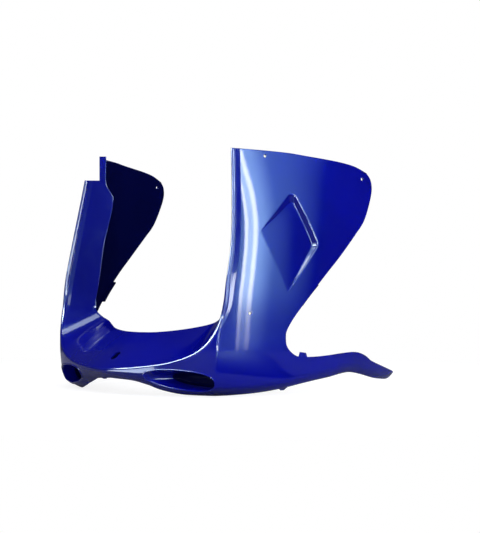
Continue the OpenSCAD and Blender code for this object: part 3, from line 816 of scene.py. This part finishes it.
def mesh_object(name, pts, faces, kinds):
    """A mesh in both paints from points in millimetres, with its doubled points welded."""
    mesh = bpy.data.meshes.new(name)
    mesh.from_pydata(((pts + [0, NODE_SHIFT_Y, 0]) / MM).tolist(), [], faces)
    mesh.polygons.foreach_set("material_index", kinds)
    obj = bpy.data.objects.new(name, mesh)
    bpy.context.scene.collection.objects.link(obj)
    bm = bmesh.new()
    bm.from_mesh(mesh)
    bmesh.ops.remove_doubles(bm, verts=bm.verts, dist=WELD)
    bmesh.ops.recalc_face_normals(bm, faces=bm.faces)
    bm.to_mesh(mesh)
    bm.free()
    for m in PAINTS:
        mesh.materials.append(m)
    return obj


def boolean(obj, tool, operation):
    """Joins a tool to an object or cuts it out, and removes the tool."""
    m = obj.modifiers.new(operation.lower(), "BOOLEAN")
    m.operation, m.object, m.solver = operation, tool, "MANIFOLD"
    bpy.context.view_layer.objects.active = obj
    obj.select_set(True)
    bpy.ops.object.modifier_apply(modifier=m.name)
    bpy.data.objects.remove(tool)


# angle from which an edge is drawn sharp, and how much a face's size counts for its normals
SHARP_FROM, NORMAL_WEIGHT = math.radians(38), 80

recess_cut, recess_back = recess()
scoop_cut, scoop_body = scoop()
added = both_sides([recess_back, scoop_body] + [tab(t) for t in TABS] + [flange()])
cuts = both_sides([recess_cut, scoop_cut] + [screw(y, z) for y, z in SCREWS]) + [slot(), notch()]
shell = mesh_object("leg_shield_shell", *mirrored(*half_shell()))
boolean(shell, mesh_object("added", *joined(added)), "UNION")
boolean(shell, mesh_object("cut", *joined(cuts)), "DIFFERENCE")
# the fine surface stays within the box of the solids
co = np.empty(len(shell.data.vertices) * 3)
shell.data.vertices.foreach_get("co", co)
co = np.clip(co.reshape(-1, 3), np.array(cad_box[0]), np.array(cad_box[1]))
shell.data.vertices.foreach_set("co", co.ravel())
shell.data.shade_smooth()
shell.data.set_sharp_from_angle(angle=SHARP_FROM)
weighted = shell.modifiers.new("weighted", "WEIGHTED_NORMAL")
weighted.keep_sharp = True
weighted.weight = NORMAL_WEIGHT
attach(shell, "root")
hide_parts("leg_shield")

# Floor, backdrop, panels, lamps and camera, in metres.

FLOOR_SIZE = 2.4
FLOOR_COLOUR, FLOOR_ROUGH, FLOOR_GLOSS = (0.24, 0.24, 0.25, 1), 0.9, 0.1
# light that the camera sees on the floor beside the shadows, and the distances from the part between
# which the floor turns into plain white, so that it meets the backdrop without a line
FLOOR_LIFT = 0.84
WHITE_FROM, WHITE_AT = 0.45, 1.1
SKY, SKY_STRENGTH = (0.82, 0.88, 1.0, 1), 0.05
WHITE = (1, 1, 1, 1)


def panel(name, w, h):
    """A flat stage mesh round its own origin."""
    corners = [(-w / 2, -h / 2, 0), (w / 2, -h / 2, 0), (w / 2, h / 2, 0), (-w / 2, h / 2, 0)]
    mesh = bpy.data.meshes.new(name)
    mesh.from_pydata(corners, [], [[0, 1, 2, 3]])
    obj = bpy.data.objects.new(name, mesh)
    bpy.context.scene.collection.objects.link(obj)
    return obj


def smooth_range(tree, source, **inputs):
    """A value eased from one range to another."""
    r = node(tree, "ShaderNodeMapRange", **inputs)
    r.interpolation_type = "SMOOTHSTEP"
    tree.links.new(source, r.inputs["Value"])
    return r.outputs["Result"]


def floor_paint():
    """Matt grey that shows soft shadows, lifted for the camera and plain white farther out."""
    m = bpy.data.materials.new("pale_floor")
    m.use_nodes = True
    t = m.node_tree
    bsdf = t.nodes["Principled BSDF"]
    bsdf.inputs["Base Color"].default_value = FLOOR_COLOUR
    bsdf.inputs["Roughness"].default_value = FLOOR_ROUGH
    bsdf.inputs["Specular IOR Level"].default_value = FLOOR_GLOSS

    def light(colour, strength):
        return node(t, "ShaderNodeEmission", Color=colour, Strength=strength).outputs["Emission"]

    seen = t.nodes.new("ShaderNodeLightPath").outputs["Is Camera Ray"]
    away = t.nodes.new("ShaderNodeVectorMath")
    away.operation = "LENGTH"
    t.links.new(t.nodes.new("ShaderNodeTexCoord").outputs["Object"], away.inputs[0])
    fade = smooth_range(t, away.outputs["Value"], From_Min=WHITE_FROM, From_Max=WHITE_AT)
    both = t.nodes.new("ShaderNodeMath")
    both.operation = "MULTIPLY"
    t.links.new(fade, both.inputs[0])
    t.links.new(seen, both.inputs[1])
    near = t.nodes.new("ShaderNodeAddShader")
    t.links.new(bsdf.outputs["BSDF"], near.inputs[0])
    lifted = mix_shader(t, seen, light((0, 0, 0, 1), 0.0), light(WHITE, FLOOR_LIFT))
    t.links.new(lifted, near.inputs[1])
    surface = mix_shader(t, both.outputs["Value"], near.outputs["Shader"], light(WHITE, 1.0))
    t.links.new(surface, t.nodes["Material Output"].inputs["Surface"])
    return m


def studio_world():
    """White where the camera sees it, and a faint cool light on everything else."""
    world = bpy.data.worlds.new("studio")
    world.use_nodes = True
    t = world.node_tree
    sky = t.nodes["Background"]
    sky.inputs["Color"].default_value = SKY
    sky.inputs["Strength"].default_value = SKY_STRENGTH
    backdrop = node(t, "ShaderNodeBackground", Color=WHITE, Strength=1.0)
    seen = t.nodes.new("ShaderNodeLightPath").outputs["Is Camera Ray"]
    surface = mix_shader(t, seen, sky.outputs["Background"], backdrop.outputs["Background"])
    t.links.new(surface, t.nodes["World Output"].inputs["Surface"])
    return world


panel("floor", FLOOR_SIZE, FLOOR_SIZE).data.materials.append(floor_paint())
bpy.context.scene.world = studio_world()

# colours across the panels
white, lav, pale, haze, faint, none = ((1, 1, 1), (0.4, 0.48, 0.6), (0.14, 0.21, 0.35),
                                       (0.035, 0.06, 0.11), (0.6, 0.8, 1), (0, 0, 0))


def softbox(name, centre, size, face, strength, stops=((0, white), (1, white)), lights=False,
            soft_foot=0.0):
    """A glowing panel that faces a point, hidden from the camera, with stops of colour across it.

    It is seen in reflections, and gives light only where asked; its foot can fade in.
    """
    obj = panel(name, *size)
    obj.location = centre
    obj.rotation_euler = (Vector(face) - Vector(centre)).to_track_quat("Z", "Y").to_euler()
    m = bpy.data.materials.new(name)
    m.use_nodes = True
    t = m.node_tree
    t.nodes.clear()
    split = t.nodes.new("ShaderNodeSeparateXYZ")
    t.links.new(t.nodes.new("ShaderNodeTexCoord").outputs["Generated"], split.inputs[0])
    glow = node(t, "ShaderNodeEmission", Strength=strength)
    t.links.new(ramp(t, split.outputs["X"], stops), glow.inputs["Color"])
    if soft_foot > 0:
        rise = smooth_range(t, split.outputs["Y"], From_Max=soft_foot, To_Max=strength)
        t.links.new(rise, glow.inputs["Strength"])
    end = t.nodes.new("ShaderNodeOutputMaterial")
    t.links.new(glow.outputs["Emission"], end.inputs["Surface"])
    obj.data.materials.append(m)
    obj.visible_camera = False
    obj.visible_shadow = False
    obj.visible_diffuse = lights
    return obj


# The side panel draws the pale stripes down the near wing. It stands along +X, and its stops are
# azimuths in degrees as they are seen from the middle.
SIDE_DIST, SIDE_Z, SIDE_H, SIDE_STRENGTH, SIDE_FOOT = 4.0, 1.2, 3.4, 26.0, 0.4
SIDE_LO, SIDE_HI = -6.0, 28.0
SIDE_STOPS = ((-1.9, none), (-1.5, white), (-0.8, white), (-0.5, lav), (0.9, lav), (1.3, white),
              (2.2, white), (2.9, pale), (4.5, pale), (9.0, haze), (14, haze), (26, none))


def side_y(azimuth):
    """Where an azimuth in degrees meets the side panel."""
    return SIDE_DIST * math.tan(math.radians(azimuth))


side_lo, side_hi = side_y(SIDE_LO), side_y(SIDE_HI)
side_mid, side_w = (side_lo + side_hi) / 2, side_hi - side_lo
softbox("side_panel", (SIDE_DIST, side_mid, SIDE_Z), (side_w, SIDE_H), (0, side_mid, SIDE_Z),
        SIDE_STRENGTH, [(1 - (side_y(a) - side_lo) / side_w, c) for a, c in SIDE_STOPS[::-1]],
        lights=True, soft_foot=SIDE_FOOT)

# Plain soft lamps for the colour, left out of the reflections: name, place, target, size and watts.
for name, centre, target, size, power in (
        ("key_light", (2.6, -2.4, 3.6), (0, 0, 0.25), 2.0, 70),
        ("top_light", (0.2, 0.2, 3.4), (0, 0, 0.2), 2.6, 45),
        ("left_fill", (-3.4, -0.6, 1.8), (0, 0, 0.2), 2.0, 60),
        ("back_fill", (0.4, 3.6, 1.8), (0, 0, 0.2), 2.0, 50)):
    data = bpy.data.lights.new(name, "AREA")
    data.shape, data.size, data.size_y = "RECTANGLE", size, size
    data.energy = power
    lamp = bpy.data.objects.new(name, data)
    bpy.context.scene.collection.objects.link(lamp)
    lamp.location = centre
    lamp.rotation_euler = (Vector(target) - Vector(centre)).to_track_quat("-Z", "Y").to_euler()
    lamp.visible_glossy = False

softbox("front_panel", (2.0, -3.9, 1.2), (2.0, 2.1), (0, 0, 0.3), 4.0, lights=True)
# Panels seen only in reflections: the line along the crease, the lines round the diamond and on the
# beads, the soft bar over the far bend, the gleam on the ledge and the glow between the scoops.
softbox("crease_panel", (-0.35, -3.9, 2.5), (4.5, 1.5), (0, -0.2, 0.1), 36.0)
softbox("rim_panel_low", (3.75, -1.4, -0.65), (0.75, 1.1), (0, 0, -0.65), 30.0)
softbox("rim_panel_high", (3.75, -1.4, 0.75), (0.75, 0.6), (0, 0, 0.75), 30.0)
softbox("bead_panel", (3.93, -0.73, 0.5), (0.15, 1.3), (0, 0, 0.5), 20.0)
CEILING_TURN = math.radians(-22)
ceiling = softbox("ceiling_strip", (0.35, -1.1, 3.4), (1.0, 0.35), (0.35, -1.1, 0), 6.0)
ceiling.rotation_euler = (math.pi, 0, CEILING_TURN)
softbox("ledge_panel", (0.3, -1.55, 3.4), (0.6, 0.4), (0.3, -1.55, 0), 14.0)
softbox("nose_card", (0.04, -0.4, 0.012), (0.14, 0.2), (0.04, -0.4, 1), 10.0)
# the faint glow low on the near side
skirt = softbox("skirt_card", (0.8, -0.14, 0.004), (0.34, 0.85), (0.8, -0.14, 1), 1.6,
                ((0, none), (0.5, faint), (0.7, faint), (1, none)), soft_foot=0.8)
skirt.rotation_euler = (0, 0, -math.pi / 2)

# The camera stands level, at an azimuth from the front; the focal length and the image's middle are
# in pixels of an image of the given height.
CAM_AZ, CAM_DIST, TARGET = math.radians(42), 3.7, (0.0, 0.1205, 0.262)
FOCAL_PX, CENTRE_Y, IMAGE_H, SENSOR = 1721.0, 262.0, 533.0, 36
data = bpy.data.cameras.new("camera")
data.sensor_width = SENSOR
data.lens = FOCAL_PX / IMAGE_H * SENSOR
data.shift_y = (CENTRE_Y - IMAGE_H / 2) / IMAGE_H
camera = bpy.data.objects.new("camera", data)
bpy.context.scene.collection.objects.link(camera)
camera.location = (TARGET[0] + CAM_DIST * math.sin(CAM_AZ), TARGET[1] - CAM_DIST * math.cos(CAM_AZ),
                   TARGET[2])
camera.rotation_euler = (math.pi / 2, 0, CAM_AZ)
bpy.context.scene.camera = camera
bpy.context.scene.view_settings.view_transform = "Standard"
